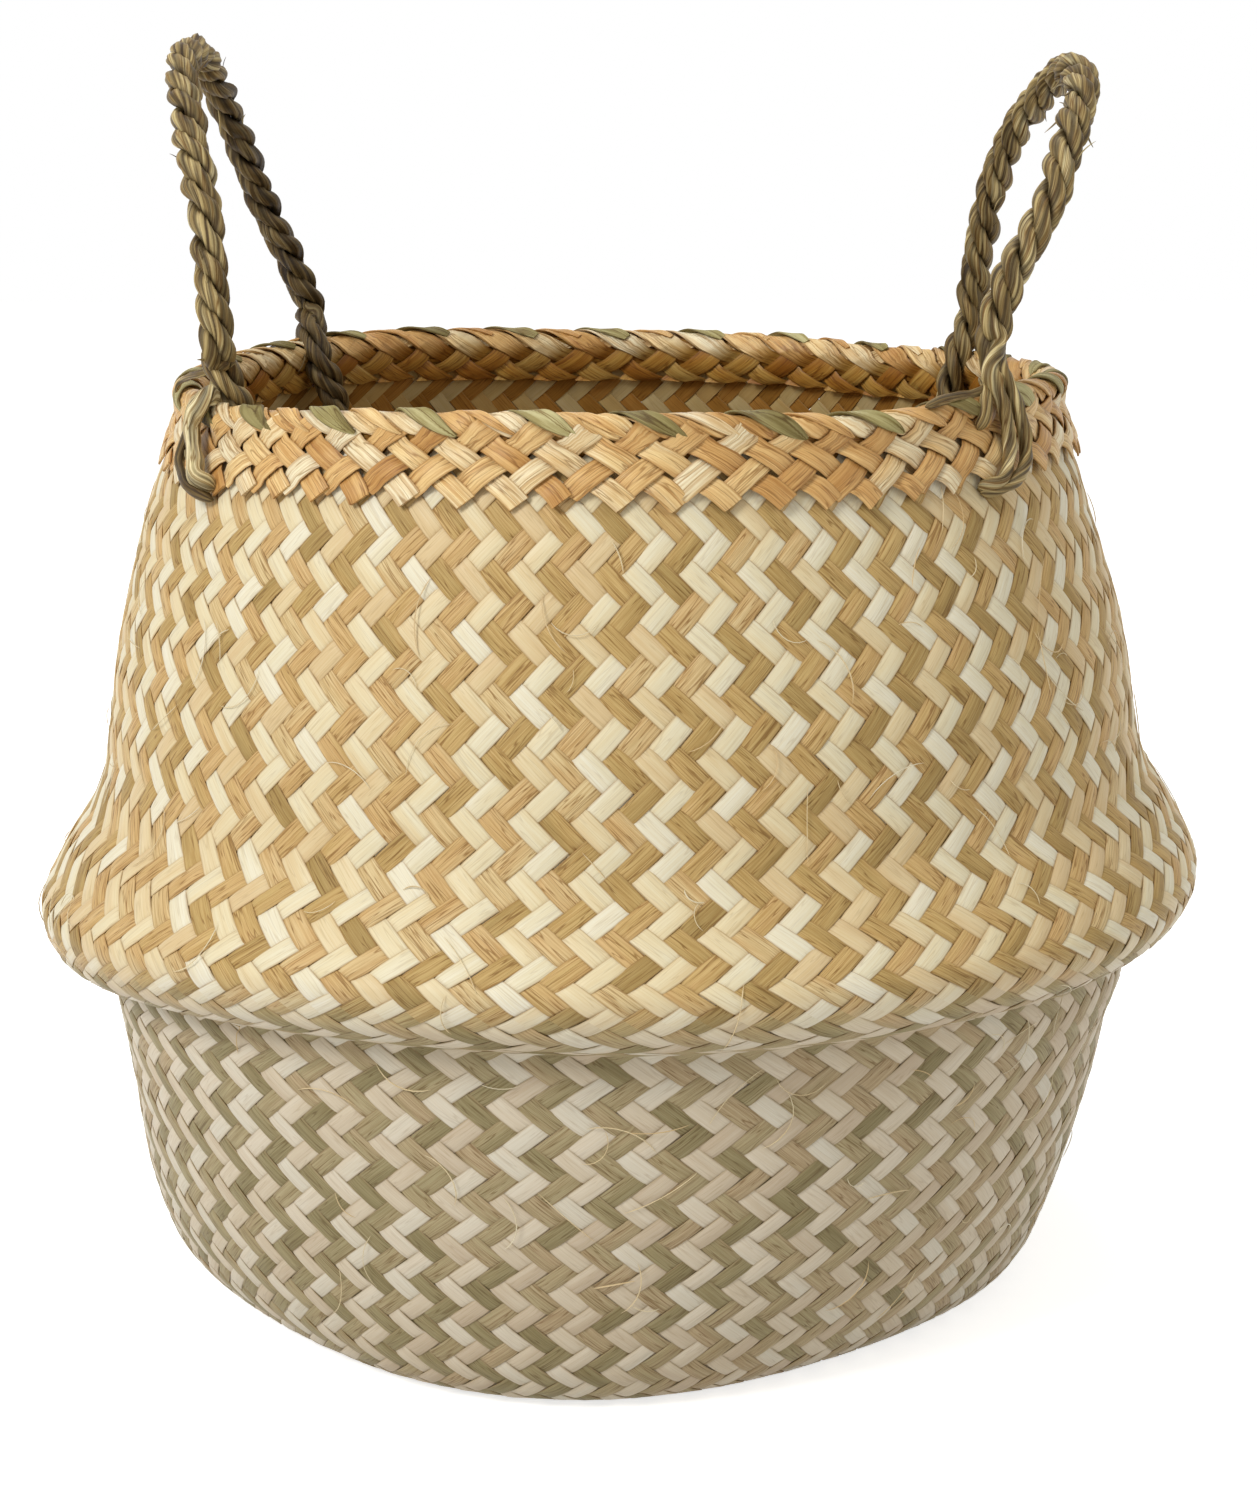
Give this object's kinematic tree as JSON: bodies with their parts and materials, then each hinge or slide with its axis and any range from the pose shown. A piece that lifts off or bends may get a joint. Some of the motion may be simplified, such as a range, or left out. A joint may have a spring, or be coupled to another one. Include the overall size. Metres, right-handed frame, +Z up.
{
  "type": "belly basket",
  "caption": "Round plaited seagrass belly basket with a folded belly, a bound rim that pushes down into it, and two swinging rope handles.",
  "frame": {"origin": "centre of the base, on the surface that the basket stands on", "axes": "+Z up through the mouth; +X to the right handle; -Y to the front, the side that the picture shows"},
  "size_m": [0.3464, 0.3464, 0.367],
  "materials": {
    "seagrass_grey": "dry, matt, greyish plaited seagrass",
    "seagrass_pale": "dry, matt, pale and tan plaited seagrass",
    "seagrass_brown": "dry, matt, orange-brown plaited seagrass",
    "green_strip": "olive-green flat strip",
    "rope": "laid rope of twisted grey-brown leaf"
  },
  "bodies": {
    "lower_body": {"base_mat": "seagrass_grey", "bowl_turn": "seagrass_grey", "bowl_wall": "seagrass_grey", "belly_fold": "seagrass_pale", "neck_wall": "seagrass_pale"},
    "rim_ring": {"collar_wall": "seagrass_brown", "outer_border": "seagrass_brown", "inner_border": "seagrass_brown", "rim_roll": "seagrass_brown", "rim_winder": "green_strip", "left_front_lashing": "rope", "left_back_lashing": "rope", "right_front_lashing": "rope", "right_back_lashing": "rope"},
    "left_handle": {"left_handle_ply_1": "rope", "left_handle_ply_2": "rope", "left_handle_ply_3": "rope"},
    "right_handle": {"right_handle_ply_1": "rope", "right_handle_ply_2": "rope", "right_handle_ply_3": "rope"}
  },
  "joints": [
    {"name": "rim_push_down", "type": "slide", "parent": "lower_body", "child": "rim_ring", "axis": [0, 0, 1], "range_m": [-0.1, 0], "deforming": ["neck_wall"]},
    {"name": "left_handle_swing", "type": "hinge", "parent": "rim_ring", "child": "left_handle", "pos_m": [-0.10229, 0.01165, 0.28179], "axis": [-0.1132, -0.9936, 0], "range_deg": [-90, 90]},
    {"name": "right_handle_swing", "type": "hinge", "parent": "rim_ring", "child": "right_handle", "pos_m": [0.10751, -0.00469, 0.28179], "axis": [0.0436, 0.999, 0], "range_deg": [-90, 90]}
  ]
}
